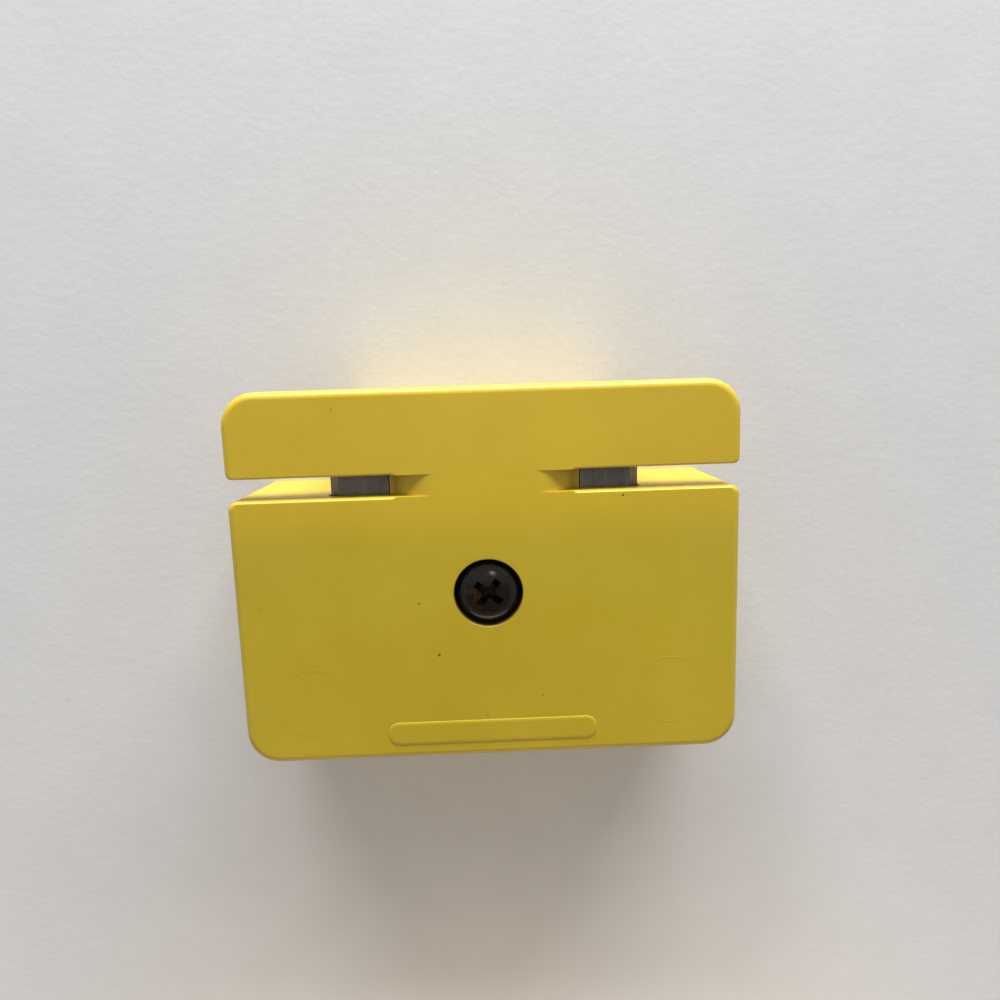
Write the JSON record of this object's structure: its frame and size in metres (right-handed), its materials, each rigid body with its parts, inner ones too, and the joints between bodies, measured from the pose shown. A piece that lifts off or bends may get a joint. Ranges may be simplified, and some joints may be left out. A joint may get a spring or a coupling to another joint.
{
  "type": "two-sided edge trimmer",
  "caption": "Hand tool: a moulded block with an open rabbet at each end, under a thin fence, and a steel cutter in the corner of each, clamped by a central screw.",
  "frame": {"origin": "centre of the rear face, on which the block lies", "axes": "+X along the block's width, +Y from its foot to the fence above the slots, +Z out of the front face with the screw"},
  "size_m": [0.0604, 0.0452, 0.0194],
  "materials": {
    "moulded_cover": "fine moulded satin, bright yellow",
    "moulded_body": "fine moulded satin, bright yellow",
    "ground_steel": "surface ground, dull grey",
    "black_steel": "black oxide, oiled and glossy",
    "spring_steel": "dark tempered spring steel",
    "plated_steel": "zinc plate"
  },
  "bodies": {
    "block": {"front_cover": "moulded_cover", "rear_body": "moulded_body", "blade_left": "ground_steel", "blade_right": "ground_steel", "hex_nut": "plated_steel"},
    "washer": {"lock_washer": "spring_steel"},
    "screw": {"clamp_screw": "black_steel"}
  },
  "joints": [
    {"name": "washer_lift", "type": "slide", "parent": "block", "child": "washer", "axis": [0, 0, 1], "range_m": [0, 0.00278]},
    {"name": "screw_turn", "type": "hinge", "parent": "washer", "child": "screw", "pos_m": [0, -0.00193, 0.01665], "axis": [0, 0, 1], "range_deg": [0, 1260]}
  ],
  "couplings": [
    {"joint": "screw_turn", "follows": "washer_lift", "rad_per_m": 7915.8}
  ]
}
